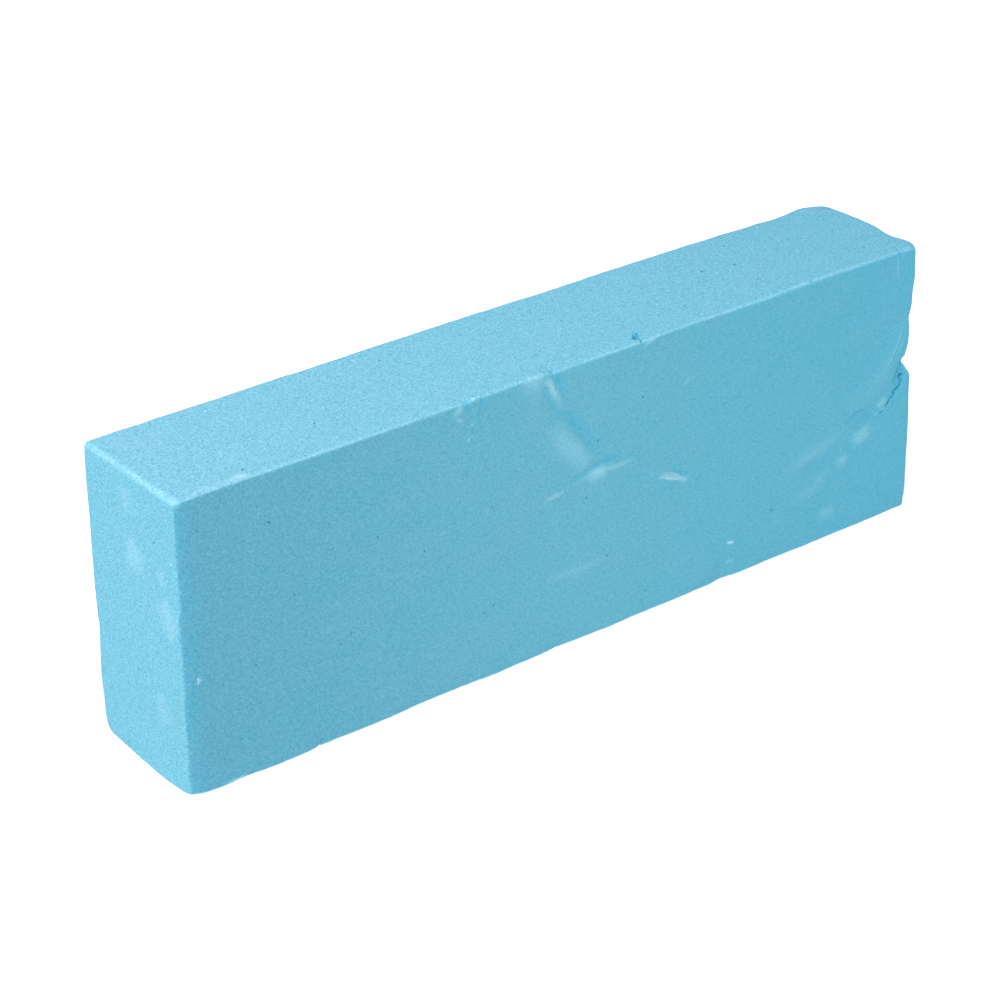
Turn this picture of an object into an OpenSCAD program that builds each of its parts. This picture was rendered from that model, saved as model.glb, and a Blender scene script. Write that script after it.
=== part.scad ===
// Clay bar: one solid block of synthetic detailing clay, standing on its long narrow face.
// X runs along the bar, Y from the front face to the back face, Z up.
// The origin is in the middle of the box round the bar, on the surface that it stands on.

/* [Bar] */
// Length of the bar
bar_length = 135; // [110:1:150]
// Height of the bar at its left end
left_height = 46.6; // [42:0.1:52]
// Height of the bar at its right end, a little squeezed
right_height = 45.2; // [42:0.1:52]
// Thickness of the bar at its left end
left_thickness = 22.4; // [18:0.1:28]
// Thickness of the bar at its right end
right_thickness = 21.4; // [18:0.1:28]

/* [Edges] */
// Radius of the crisp edges that the cutting wire left
cut_edge = 0.8; // [0.4:0.1:1.4]
// Radius of the slumped upright edge at the back of the right end
slumped_edge = 3.8; // [2:0.1:6]
// Radius of the worn lower edge of the left end
worn_edge = 2.4; // [1:0.1:4]

/* [Finger groove] */
// Place of the groove's mouth on the top edge, from the middle of the bar
groove_mouth_x = -3; // [-30:0.5:10]
// Place of the groove's foot, from the middle of the bar
groove_foot_x = 4.5; // [-10:0.5:30]
// Height of the groove's foot
groove_foot_z = 29.5; // [20:0.5:36]
// Radius of the fingertip's rim that made the groove
groove_radius = 2.6; // [2:0.1:4]
// Depth of the groove below the front face
groove_depth = 0.6; // [0.3:0.1:1]

/* [Cross crease] */
// Length of the crease at the foot of the groove
crease_length = 13; // [6:0.5:18]
// Radius of the crease
crease_radius = 1.2; // [0.8:0.1:2]
// Depth of the crease below the front face
crease_depth = 0.4; // [0.2:0.1:0.6]
// Slope of the crease, up to the right
crease_slope = 6; // [-10:1:20]

/* [Nail mark] */
// Middle of the fingernail's curve, from the middle of the bar
nail_x = 18.1; // [10:0.1:40]
// Height of the middle of the curve
nail_z = 19.6; // [10:0.1:35]
// Radius of the fingernail's curve
nail_radius = 3.4; // [3:0.1:6]
// Depth of the nail mark
nail_depth = 0.7; // [0.4:0.1:1]

/* [Pinch marks] */
// Place of the pinched spot on the top edge, from the middle of the bar
pinch_x = -18; // [-50:0.5:-12]
// Gap between the two pinch marks
pinch_gap = 2.6; // [2:0.1:4]
// Radius of each pinch mark
pinch_radius = 1; // [0.6:0.1:1.4]

/* [Torn fold] */
// Height of the notch in the right end
fold_z = 26.6; // [20:0.5:34]
// Depth of the notch
fold_depth = 1.6; // [1:0.1:2.5]
// Height of the notch where it opens on the end face
fold_mouth = 6; // [4:0.5:8]
// Width of the tear that runs down from the notch
tear_width = 0.35; // [0.2:0.05:0.6]
// Depth of the tear below the front face
tear_depth = 1.2; // [0.6:0.1:2]

/* [Pit in the top] */
// Place of the torn pit, from the middle of the bar
pit_x = 12.4; // [6:0.5:40]
// Distance of the pit behind the front face
pit_set_back = 1.9; // [1.6:0.1:4]
// Radius of the pit
pit_radius = 0.7; // [0.4:0.1:1]

/* [Hidden] */

$fn = 64;
clay_colour = "#6DB6D0";
overrun = 1;
half_length = bar_length / 2;
front_y = -left_thickness / 2;
back_left_y = left_thickness / 2;
back_right_y = back_left_y - (left_thickness - right_thickness);
fall = left_height - right_height;
top_slope = atan(fall / bar_length);
back_slope = atan((left_thickness - right_thickness) / bar_length);

// Height of the top face at a place along the bar
function top_z(x) = left_height - fall * (x + half_length) / bar_length;

// The bar before its edges are softened: a box whose top and back close in towards the right
module raw_block() {
    intersection() {
        translate([0, back_left_y + overrun, 0])
            rotate([90, 0, 0])
                linear_extrude(left_thickness + 2 * overrun)
                    polygon([
                        [-half_length, 0], [half_length, 0],
                        [half_length, right_height], [-half_length, left_height]
                    ]);
        translate([0, 0, -overrun])
            linear_extrude(max(left_height, right_height) + 2 * overrun)
                polygon([
                    [-half_length, front_y], [half_length, front_y],
                    [half_length, back_right_y], [-half_length, back_left_y]
                ]);
    }
}

// What is pared from an edge that lies on Z, with the clay in the quarter where X and Y are positive.
// The round meets each face at a slight angle, as a softened cut edge does.
module edge_paring(length, radius) {
    centre = radius * 0.97;
    difference() {
        translate([-overrun, -overrun, -length / 2])
            cube([centre + overrun, centre + overrun, length]);
        translate([centre, centre, -length / 2 - overrun])
            cylinder(h = length + 2 * overrun, r = radius);
    }
}

// A paring along the bar; turn picks the quarter that the clay fills, tilt follows the slope of the faces
module long_edge(y, z, turn, tilt) {
    translate([0, y, z])
        rotate(tilt)
            rotate([turn, 0, 0])
                rotate([90, 0, 90])
                    edge_paring(bar_length * 1.1, cut_edge);
}

// A paring across the thickness of the bar
module cross_edge(x, z, turn, radius) {
    translate([x, 0, z])
        rotate([0, turn, 0])
            rotate([-90, 0, 0])
                edge_paring(left_thickness * 1.5, radius);
}

// A paring up the height of the bar
module upright_edge(x, y, turn, radius) {
    translate([x, y, left_height / 2])
        rotate([0, 0, turn])
            edge_paring(left_height * 1.5, radius);
}

module edge_parings() {
    mid_back_y = (back_left_y + back_right_y) / 2;
    long_edge(front_y, 0, 0, [0, 0, 0]);
    long_edge(mid_back_y, 0, 90, [0, 0, -back_slope]);
    long_edge(mid_back_y, top_z(0), 180, [0, top_slope, -back_slope]);
    long_edge(front_y, top_z(0), 270, [0, top_slope, 0]);
    cross_edge(-half_length, left_height, 0, cut_edge);
    cross_edge(half_length, right_height, 90, 1.5 * cut_edge);
    cross_edge(half_length, 0, 180, cut_edge);
    cross_edge(-half_length, 0, 270, worn_edge);
    upright_edge(-half_length, front_y, 0, cut_edge);
    upright_edge(half_length, front_y, 90, cut_edge);
    upright_edge(half_length, back_right_y, 180, slumped_edge);
    upright_edge(-half_length, back_left_y, 270, cut_edge);
}

// A round-ended dent pressed into the front face, from its foot upwards; lean tips it to the right
module dent(x, z, length, radius, depth, lean) {
    translate([x, front_y - radius + depth, z])
        rotate([0, lean, 0]) {
            cylinder(h = length, r = radius);
            sphere(radius);
            translate([0, 0, length])
                sphere(radius);
        }
}

// The long drag of a fingertip, from the top edge down the front face
module finger_groove() {
    across = groove_mouth_x - groove_foot_x;
    up = top_z(groove_mouth_x) + groove_radius - groove_foot_z;
    dent(groove_foot_x, groove_foot_z, norm([across, up]), groove_radius, groove_depth, atan2(across, up));
}

// The crease that crosses the foot of the groove
module cross_crease() {
    start_x = groove_foot_x - crease_length / 2;
    start_z = groove_foot_z - 2.6;
    dent(start_x, start_z, crease_length, crease_radius, crease_depth, 90 - crease_slope);
}

// A crescent that a fingernail pressed into the front face
module nail_mark() {
    sweep = 2 * nail_depth;
    difference() {
        translate([nail_x, front_y + nail_depth, nail_z])
            rotate([90, 0, 0])
                cylinder(h = nail_depth + overrun, r = nail_radius);
        translate([nail_x - 0.32 * sweep, front_y + 2 * nail_depth, nail_z - 0.95 * sweep])
            rotate([90, 0, 0])
                cylinder(h = 3 * nail_depth + overrun, r = nail_radius);
    }
}

// Two thumb-and-finger marks side by side on the top edge
module pinch_marks() {
    for (side = [-1, 1])
        dent(pinch_x + side * pinch_gap / 2, top_z(pinch_x) - 2, 4, pinch_radius, 0.4 * pinch_radius, 0);
}

// One straight stretch of the tear, between two points on the front face
module tear_stretch(from, to) {
    step = to - from;
    translate([from[0], front_y - overrun, from[1]])
        rotate([0, -atan2(step[1], step[0]), 0])
            translate([0, 0, -tear_width / 2])
                cube([norm(step), tear_depth + overrun, tear_width]);
}

// The notch where the clay folded over at the right end, and the tear that runs down from it
module torn_fold() {
    tip = [half_length - fold_depth, fold_z];
    reach = left_thickness / 3;
    half_mouth = fold_mouth / 2 * (fold_depth + overrun) / fold_depth;
    translate([0, front_y + reach, 0])
        rotate([90, 0, 0])
            linear_extrude(reach + overrun)
                polygon([
                    tip,
                    [half_length + overrun, fold_z - half_mouth],
                    [half_length + overrun, fold_z + half_mouth]
                ]);
    path = [tip + [0.2, 0.3], tip + [-0.5, -3.2], tip + [-2.3, -4.8], tip + [-4.8, -8]];
    for (i = [0 : len(path) - 2])
        tear_stretch(path[i], path[i + 1]);
}

// A small pit torn out of the top face close to the front edge, with a slit from it to the edge
module torn_pit() {
    pit_y = front_y + pit_set_back;
    translate([pit_x, pit_y, top_z(pit_x)])
        sphere(pit_radius);
    translate([pit_x, pit_y, top_z(pit_x) - pit_radius / 2])
        rotate([0, 0, -70])
            translate([0, -pit_radius / 4, 0])
                cube([pit_set_back, pit_radius / 2, pit_radius]);
}

module clay_bar() {
    color(clay_colour)
        difference() {
            raw_block();
            edge_parings();
            finger_groove();
            cross_crease();
            nail_mark();
            pinch_marks();
            torn_fold();
            torn_pit();
        }
}

clay_bar();
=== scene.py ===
import math

import bmesh
import bpy
import numpy as np
from mathutils import Matrix, Vector


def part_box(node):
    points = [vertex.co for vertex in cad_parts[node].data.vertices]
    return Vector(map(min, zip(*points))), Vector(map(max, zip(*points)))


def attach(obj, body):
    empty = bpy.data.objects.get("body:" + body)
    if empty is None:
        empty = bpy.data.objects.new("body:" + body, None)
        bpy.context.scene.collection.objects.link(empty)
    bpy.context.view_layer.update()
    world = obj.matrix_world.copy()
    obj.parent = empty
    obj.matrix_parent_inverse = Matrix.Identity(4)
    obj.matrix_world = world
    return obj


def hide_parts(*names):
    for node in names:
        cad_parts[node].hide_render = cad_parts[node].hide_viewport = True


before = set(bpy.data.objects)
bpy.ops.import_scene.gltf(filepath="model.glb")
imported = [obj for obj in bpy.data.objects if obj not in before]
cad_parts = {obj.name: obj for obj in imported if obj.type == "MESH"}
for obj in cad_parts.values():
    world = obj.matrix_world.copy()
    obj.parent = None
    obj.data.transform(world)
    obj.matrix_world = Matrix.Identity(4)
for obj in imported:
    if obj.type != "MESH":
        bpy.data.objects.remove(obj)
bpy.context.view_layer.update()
mm = 0.001


# The bar's driving sizes in millimetres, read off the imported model
def measureBar():
    low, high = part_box("clay_bar")
    corners = np.array([v.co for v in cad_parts["clay_bar"].data.vertices]) / mm
    rightEnd = corners[corners[:, 0] > high.x / mm - 5]
    return {
        "length": (high.x - low.x) / mm,
        "thickness": (high.y - low.y) / mm,
        "height": (high.z - low.z) / mm,
        "heightFall": high.z / mm - rightEnd[:, 2].max(),
        "backFall": high.y / mm - rightEnd[:, 1].max(),
    }


bar = measureBar()
halfLength = bar["length"] / 2
halfThickness = bar["thickness"] / 2
print("bar measured:", {k: round(float(v), 2) for k, v in bar.items()})


# Puts a mesh, a lamp or a camera into the scene
def addObject(name, data):
    thing = bpy.data.objects.new(name, data)
    bpy.context.scene.collection.objects.link(thing)
    return thing


# Smooth noise between -1 and 1 on points in millimetres; size is the width of one blotch
def smoothNoise(points, size, seed, octaves=1):
    table = np.random.default_rng(seed).uniform(-1, 1, (32, 32, 32))
    total = np.zeros(len(points))
    weight = 1.0
    for octave in range(octaves):
        place = points / size * 2**octave + 100 + 7 * octave
        cell = np.floor(place).astype(int)
        inside = place - cell
        inside = inside * inside * (3 - 2 * inside)
        for corner in np.ndindex(2, 2, 2):
            share = np.ones(len(points))
            for axis in range(3):
                share *= inside[:, axis] if corner[axis] else 1 - inside[:, axis]
            i, j, k = ((cell + corner) % 32).T
            total += weight * share * table[i, j, k]
        weight *= 0.5
    return total


# A soft step from 0 to 1 as value goes from start to end
def fade(value, start, end):
    t = np.clip((value - start) / (end - start), 0, 1)
    return t * t * (3 - 2 * t)


# Height between a few (place, height) stops
def throughStops(value, stops):
    places, heights = zip(*stops)
    return np.interp(value, places, heights)


# Distance from flat points to a path, the share of the path passed, and +1 on its right-hand side
def alongPath(points, path):
    path = np.array(path, float)
    steps = np.linalg.norm(np.diff(path, axis=0), axis=1)
    passed = np.concatenate([[0], np.cumsum(steps)]) / steps.sum()
    best = np.full(len(points), 1e9)
    share = np.zeros(len(points))
    side = np.ones(len(points))
    for i in range(len(steps)):
        step = path[i + 1] - path[i]
        rel = points - path[i]
        t = np.clip(rel @ step / steps[i] ** 2, 0, 1)
        off = rel - t[:, None] * step
        distance = np.hypot(off[:, 0], off[:, 1])
        near = distance < best
        best = np.where(near, distance, best)
        share = np.where(near, passed[i] + t * (passed[i + 1] - passed[i]), share)
        cross = step[0] * rel[:, 1] - step[1] * rel[:, 0]
        side = np.where(near, np.where(cross < 0, 1.0, -1.0), side)
    return best, share, side


barGrid = {
    "edgeSteps": (0, 0.09, 0.2, 0.34, 0.52, 0.75, 1.05, 1.45),  # lines in from each edge, for its rounding
    "spacing": 0.76,  # millimetres between lines away from edges and marks
    # each round of splitting serves the marks up to the first width, as far out as the second
    "splits": ((1.3, 0.6), (0.8, 0.35), (0.34, 0.16), (0.19, 0.05)),
    "splitReach": 1.2,  # and this many times the mark's own reach
    "onSide": 1e-4,  # a point this near a side lies on it
}


# Places of the grid lines from one edge to the other
def gridStops(length):
    edge = np.array(barGrid["edgeSteps"])
    inner = length - 2 * edge[-1]
    count = max(2, round(inner / barGrid["spacing"]))
    middle = edge[-1] + inner * np.arange(1, count) / count
    return np.concatenate([edge, middle, length - edge[::-1]])


# A sharp-edged box of quads in millimetres, closed, faces outward
def boxMesh():
    xs = gridStops(bar["length"]) - halfLength
    ys = gridStops(bar["thickness"]) - halfThickness
    zs = gridStops(bar["height"])
    index = np.full((len(xs), len(ys), len(zs)), -1)
    skin = np.zeros(index.shape, bool)
    for axis in range(3):
        for end in (0, -1):
            cut = [slice(None)] * 3
            cut[axis] = end
            skin[tuple(cut)] = True
    index[skin] = np.arange(skin.sum())
    i, j, k = np.nonzero(skin)
    points = np.stack([xs[i], ys[j], zs[k]], 1)
    sides = [
        (index[0], True), (index[-1], False), (index[:, 0], False),
        (index[:, -1], True), (index[:, :, 0], True), (index[:, :, -1], False),
    ]
    quads = []
    for sheet, turned in sides:
        ring = [sheet[:-1, :-1], sheet[1:, :-1], sheet[1:, 1:], sheet[:-1, 1:]]
        if turned:
            ring.reverse()
        quads.append(np.stack([r.ravel() for r in ring], 1))
    return points, np.concatenate(quads)


# The box unrolled round its front: across is along the bar and on past both ends, up is height,
# then over the top and down the back, and below zero it is the underside
def unroll(points):
    x, y, z = points.T
    tall = bar["height"] - bar["heightFall"] * (x + halfLength) / bar["length"]
    behind = y + halfThickness
    gap = barGrid["onSide"]
    onTop = z > bar["height"] - gap
    onFoot = z < gap
    upright = ~onTop & ~onFoot
    onRight = (x > halfLength - gap) & upright
    onLeft = (x < gap - halfLength) & upright
    onBack = (y > halfThickness - gap) & upright & ~onRight & ~onLeft
    up = z / bar["height"] * tall
    downBack = 2 * tall + bar["thickness"] - up
    up = np.select([onTop, onFoot, onBack], [tall + behind, -behind, downBack], up)
    across = np.select([onRight, onLeft], [halfLength + behind, -halfLength - behind], x)
    return np.stack([across, up], 1)


# One mark. Its path is (across, up) in millimetres on the unrolled sides, height is out from the side and
# left and right are its reach on each side of the path. The pale tint whitens the clay there, as scuffed
# clay and as painted highlight on slopes that face the light; the deep tint saturates and darkens it, as
# fresh clay and as painted shade in hollows; the core tint is painted shade inside a crack or a pit. Ends is
# the share of the path over which it fades, one number or one for each end, and ragged is how far its
# outline wanders.
def mark(path, height, left, right, **more):
    return {"path": path, "height": height, "left": left, "right": right, **more}


clayMarks = {
    "pinched spot": [
        mark([(-19.1, 46.7), (-19, 45.8), (-18.7, 44.9), (-18.4, 43.8)],
             -0.06, 0.65, 0.6, deep=0.48, ends=(0.05, 0.5)),
        mark([(-20.5, 45.6), (-20.1, 44.4)], 0.05, 1, 0.9, pale=0.32, ragged=0.2),
        mark([(-20.9, 44), (-20.3, 43.7), (-19.4, 43.1)], 0.04, 0.32, 0.3, pale=0.28, ragged=0.15),
        mark([(-17.8, 46.3), (-17, 46.2)], 0.12, 0.4, 0.4, pale=0.5),
        mark([(-16.1, 46.2), (-16.2, 45.1), (-16.7, 44.1), (-17, 43.1), (-17, 42.2)],
             -0.05, 0.6, 0.55, deep=0.48, ends=(0.1, 0.35)),
        mark([(-18.2, 42.3), (-17.7, 42)], 0.05, 0.35, 0.3, pale=0.2),
        mark([(-18.2, 41.5), (-17.9, 41), (-17.4, 40.7)], -0.08, 0.42, 0.38, deep=0.55),
        mark([(-18.8, 40.05), (-18.4, 39.95)], 0.06, 0.4, 0.4, pale=0.5, ends=0.2),
    ],
    "fold dragged down from the top edge": [
        mark([(-9, 45.4), (-5, 44.7)], 0.05, 1.3, 1.6, pale=0.26, ragged=0.3),
        mark([(-7.6, 43.4), (-5.4, 42.4)], 0.05, 1.4, 1.4, pale=0.08),
        mark([(-4.8, 45.3), (-4, 44.2), (-3.3, 42.8), (-2.6, 41.4), (-2, 40)],
             # the pale ridges here are partly stretched clay and partly painted highlight on slopes facing
             # the light; the deep hollows are partly fresh clay and partly painted shade
             0.1, 0.7, 0.75, pale=0.44, ends=(0.2, 0.75), ragged=0.2),
        mark([(-3.4, 46.8), (-3.1, 45.6), (-2.5, 44.2), (-2, 42.8), (-1.6, 41.4), (-1.4, 40)],
             -0.08, 0.95, 0.95, deep=0.38, ends=(0.04, 0.5)),
        mark([(-3.6, 46.8), (-3.1, 45.4)], -0.06, 0.8, 0.8, deep=0.34, ends=(0.04, 0.6)),
        mark([(-5, 43.4), (-4.2, 41.8), (-3.4, 40.4), (-2.6, 39.1), (-1.7, 38)],
             -0.08, 0.55, 0.65, deep=0.34, ends=(0.4, 0.12)),
        mark([(-1.9, 38.4), (-0.6, 37.4), (0.4, 36.3), (1.2, 35.2), (2.1, 34), (2.9, 32.7), (3.7, 31.5),
              (4.8, 30.5), (6.2, 29.9)],
             -0.2, 1.7, 0.9, deep=0.42, ends=(0.15, 0.35)),
        mark([(-0.6, 37.3), (0.9, 35.6), (1.9, 34.2)], -0.04, 1.1, 0.8, deep=0.6),
        mark([(-3.6, 37.6), (-2.2, 34.6), (0, 31.9), (2.2, 29.9), (3.4, 29)],
             0.14, 1.7, 1.7, pale=0.2, ends=(0.4, 0.15)),
        mark([(-0.8, 34.4), (0.9, 32.2), (2.7, 30.2)], 0.06, 1.1, 1.2, pale=0.2),
    ],
    "crease across its foot": [
        # the deep bands along this crease are painted shade on its wall that faces down, and the pale bands
        # below it painted highlight on its lip that faces up
        mark([(-4.6, 26.8), (-2.6, 26.95), (-0.8, 27), (1.2, 27.4), (3.2, 27.9), (5.2, 28.25), (7.4, 28.2),
              (9.6, 27.9), (12.4, 27.5)],
             -0.12, 0.45, 0.6, deep=0.32, ends=(0.4, 0.5)),
        mark([(3.2, 28.2), (5.4, 28.6), (7.8, 28.5), (10.2, 28.1)], -0.05, 0.65, 0.5, deep=0.62),
        mark([(-5.2, 25.7), (-3.2, 25.8), (-1.4, 26)], 0.05, 0.4, 0.4, pale=0.28),
        mark([(0.8, 26.5), (3, 27), (5.2, 27.1), (7.6, 26.9), (12, 27)], 0.08, 0.42, 0.5, pale=0.26),
        mark([(2.4, 26.9), (4.4, 27.2), (6.8, 27.1)], 0.06, 0.8, 1.4, pale=0.4),
    ],
    "nail mark": [
        mark([(16.2, 22.25), (17.4, 22.55), (18.85, 22.3), (20.3, 21.5), (21.8, 20.1)],
             -0.32, 0.14, 0.95, ends=0.3),
        # the two pale bands below are painted highlight on the nail mark's slope that faces the light; they
        # stand no higher than the side
        mark([(16, 22.2), (19.1, 20.95), (22.1, 19.85)], 0, 0.75, 0.07, pale=0.53, ends=0.3),
        mark([(16.2, 22.25), (17.4, 22.45), (18.85, 22.2), (20.2, 21.45), (21.8, 20.05)],
             0, 0.1, 0.75, pale=0.53, ends=0.26),
        mark([(18.2, 22.8), (19.2, 22.55), (20.4, 21.85), (21.6, 20.75)],
             0.05, 0.4, 0.16, deep=0.8, ends=0.3),
        mark([(16.8, 20.6), (18.6, 20), (20.2, 19.2)], 0.05, 0.6, 0.9, deep=0.2),
        mark([(10, 24.6), (12.6, 23.6), (15.4, 22.8)], -0.08, 0.9, 0.9, deep=0.16),
    ],
    "small nicks": [
        mark([(-65.5, 18.95), (-65.36, 18.6), (-65.34, 18.15), (-65.5, 17.7)],
             0.04, 0.11, 0.11, pale=0.9, ends=0.25),
        mark([(30, 6.35), (30.9, 6.1), (31.6, 5.9)], -0.1, 0.3, 0.24, pale=0.85, ends=0.35),
        mark([(29.8, 2.9), (31.6, 2.75)], -0.04, 0.35, 0.35, pale=0.2),
        mark([(-46.4, -0.6), (-45.5, 0.6), (-45, 1)], -0.3, 0.4, 0.45, deep=0.4, ends=0.3),
        mark([(-3.2, 0.3), (-2.4, 0.2)], -0.2, 0.6, 0.6),
        mark([(20.5, 36.2), (23.4, 37)], 0.04, 0.3, 0.4, pale=0.15),
        mark([(-6, 12.6), (1, 12), (7, 12.2)], 0.04, 0.7, 0.7, pale=0.1),
    ],
    "upright crease near the right end": [
        # the deep tint along this crease is partly painted shade
        mark([(63.8, 46.8), (63.9, 45.2), (64.05, 43.8), (64.1, 42.4)],
             -0.14, 0.24, 0.24, deep=0.5, ends=(0.1, 0.5)),
        mark([(63.7, 44.6), (63.6, 42.4), (63.4, 40.8)], 0.03, 0.25, 0.25, pale=0.2),
    ],
    "fold pulled at the right end": [
        mark([(67.9, 34.5), (66.2, 31), (64.4, 28), (62.4, 25.2), (60, 22.8), (57, 21.3), (53.6, 20.6)],
             0.17, 1.4, 2.6, pale=0.06, ends=0.35),
        # the pale bands on the fold's ridges are painted highlight, and the deep bands between them painted
        # shade
        mark([(65.9, 32.6), (64.7, 29.9), (63.4, 27.5), (62.2, 25.6), (61, 24.2)],
             0.03, 0.36, 0.38, pale=0.16, ends=0.35),
        mark([(66.3, 31.8), (65.1, 29.4), (63.8, 27.1), (62.6, 25.2), (61.4, 23.7)],
             -0.04, 0.34, 0.32, deep=0.22, ends=0.35),
        mark([(66.6, 30.9), (65.3, 28.8), (64.2, 26.9), (63, 25)], 0.03, 0.32, 0.32, pale=0.12, ends=0.35),
        mark([(66, 28.6), (64.9, 27), (63.7, 25.2), (62.8, 23.8)], -0.04, 0.24, 0.22, deep=0.2, ends=0.35),
    ],
    "tear under the fold": [
        # the deep and core tints in this tear are painted shade inside it, with fresh clay's colour in the
        # deep tint
        mark([(67.6, 26.6), (66.3, 25.2), (65.2, 24), (64.3, 22.9), (63.7, 22)],
             -0.3, 0.95, 0.7, deep=0.75, ends=(0.05, 0.4)),
        mark([(67.3, 29), (67.25, 26.4), (67.35, 23.6)], 0, 0.3, 0.3, deep=0.3),
        mark([(66.95, 26.05), (65.5, 25.25), (64.15, 24), (63.35, 22.9)],
             -0.14, 0.55, 0.1, deep=0.85, ends=(0.05, 0.4)),
        mark([(66.3, 25.5), (64.95, 24.4), (64.1, 23.4), (63.55, 22.6)],
             -0.05, 0.3, 0.3, deep=0.95, core=0.16, ends=0.25),
        mark([(66.05, 23.65), (65.6, 23.5), (65.15, 23.25)],
             -0.22, 0.26, 0.3, deep=1, core=0.4, ends=0.2, ragged=0.05),
        mark([(65.95, 23.8), (65.55, 23.4), (65.3, 23.1), (65.5, 22.45), (65.1, 21.65), (64.5, 21.5),
              (63.95, 21.4)],
             -0.32, 0.22, 0.24, deep=1, core=0.35, ends=0.08, ragged=0.04),
        mark([(63.95, 21.4), (63.7, 21.25), (64.2, 20.95), (63.95, 20.55), (63.2, 20.1), (62.6, 19.55),
              (62.35, 19)],
             -0.28, 0.15, 0.16, deep=1, core=0.35, ends=(0.05, 0.2), ragged=0.02),
        mark([(61.85, 18.85), (61.5, 18.6), (61.1, 18.3)], -0.2, 0.12, 0.12, deep=0.9, core=0.2, ends=0.2),
        mark([(65.8, 24), (65.7, 22.9), (65.2, 21.9), (64.3, 21.3)],
             -0.16, 0.55, 0.5, deep=0.85, ends=(0.15, 0.4), ragged=0.1),
        mark([(64.3, 21.2), (63.3, 20.2), (62.4, 19.2)], -0.05, 0.5, 0.4, deep=0.3, ends=0.3, ragged=0.1),
        mark([(66.8, 23), (66.2, 21.6), (64.8, 20.6), (63.6, 19.4), (63, 18.6)], 0.13, 0.7, 0.55),
        mark([(62.6, 21), (61.5, 20.1), (60.3, 19.8)], 0.14, 0.75, 0.85, pale=0.24, ragged=0.12),
        mark([(61.1, 20), (60.6, 19.8)], 0.05, 0.3, 0.26, pale=0.36),
        mark([(61.9, 19.2), (61.2, 18.75)], 0.06, 0.28, 0.14, pale=0.34),
        mark([(60.55, 19), (60.15, 18.3)], 0.04, 0.16, 0.16, pale=0.34),
        mark([(54.3, 18.95), (54.8, 19.55), (55.8, 20), (56.8, 20.3), (58.2, 20.25)],
             -0.09, 0.2, 0.6, deep=0.3, ends=0.3),
        mark([(54.3, 18.95), (54.7, 19.6), (55.8, 20), (56.7, 20.3), (58.1, 20.3)],
             -0.08, 0.14, 0.15, deep=0.9, ends=0.3),
        mark([(56.2, 19), (58, 19), (59.4, 18.4)], -0.07, 0.9, 1, deep=0.26),
    ],
    "soft lumps and streaks under the tear": [
        mark([(55.3, 14.9), (57.2, 15.7), (59.5, 16.6)], 0.14, 1.2, 1.5, pale=0.27, ragged=0.35),
        mark([(52.3, 12.3), (54.9, 13.4)], 0.09, 1, 1.2, pale=0.22, ragged=0.3),
        mark([(53.5, 15), (56.2, 13.6), (60, 12.6)], -0.1, 1, 1.4, deep=0.16),
        mark([(53.2, 18.2), (49.5, 16.2), (45.5, 15.3), (41.5, 14.4)], 0.1, 1.2, 1.3, pale=0.12),
        mark([(52.8, 16.5), (48.5, 14.2), (44, 12.9)], -0.1, 1.2, 1.2, deep=0.16),
        mark([(51.5, 12.2), (47.6, 9.8), (43.2, 8.8)], 0.08, 1.1, 1.2, pale=0.1),
        mark([(48.6, 5), (52.6, 4.2)], 0.1, 1, 1.2, pale=0.16),
    ],
    "pit torn in the top": [
        # the core tint here is painted shade inside the pit and its slits
        mark([(12.5, 46.9), (13.1, 47.55), (13.6, 48.1)],
             -0.6, 0.42, 0.46, core=0.95, ends=0.12, ragged=0.1),
        mark([(13.1, 47.6), (13.6, 48.75)], -0.32, 0.2, 0.2, core=0.85, ends=0.25, ragged=0.06),
        mark([(13.4, 47.8), (14.4, 48.9)], -0.32, 0.24, 0.24, core=0.85, ends=0.25, ragged=0.06),
        mark([(13.3, 47.4), (14.2, 47.85)], -0.26, 0.22, 0.22, core=0.75, ends=0.25),
        mark([(12.8, 45.5), (12.95, 46.2), (13.1, 46.65)], -0.24, 0.17, 0.17, core=0.9, ends=0.2),
        mark([(13.4, 46.8), (13.9, 47)], 0.06, 0.26, 0.26, pale=0.35),
        mark([(13.3, 45), (15.6, 45.4)], 0.08, 0.35, 0.35, pale=0.4, ragged=0.15),
    ],
    "scuffs along the edges": [
        mark([(-65.5, 47.2), (-61.5, 47.5), (-58, 47.1)], 0.03, 0.7, 0.6, pale=0.22, ragged=0.4),
        mark([(-58.4, 47.3), (-56.6, 47.5), (-54.6, 47.1)], 0.05, 0.45, 0.4, pale=0.5, ragged=0.3),
        mark([(-9.4, 45.9), (-6.9, 45.8), (-4.6, 45.5)], 0.03, 0.6, 0.8, pale=0.36, ragged=0.3),
        mark([(-62.3, 0.35), (-60, 0.5), (-57.8, 0.45)], 0.06, 0.3, 0.3, pale=0.45, ragged=0.15),
    ],
    "chalky patches on the left end": [
        mark([(-78, 35.4), (-79.6, 31)], 0.02, 2.3, 2.3, pale=0.26, ends=0.25, ragged=1.2),
        mark([(-73.6, 34.4), (-70.6, 32.4)], 0.02, 1.8, 1.8, pale=0.26, ends=0.25, ragged=1.2),
        mark([(-72.6, 29.4), (-69, 25.6)], 0.02, 2.3, 2.1, pale=0.26, ends=0.25, ragged=1.2),
        mark([(-80, 44), (-79.2, 40)], 0.02, 1.7, 1.7, pale=0.22, ends=0.25, ragged=1.1),
        mark([(-74.8, 13.2), (-72, 9.4)], 0.02, 1.9, 1.9, pale=0.18, ends=0.25, ragged=1.1),
        mark([(-69.5, 36.35), (-68.7, 36.75)], 0.06, 0.2, 0.2, pale=0.6, ends=0.25),
    ],
    "guessed finger marks on the back": [
        mark([(-30, 86), (-27.5, 91.5)], -0.34, 5.4, 5, deep=0.06),
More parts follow.
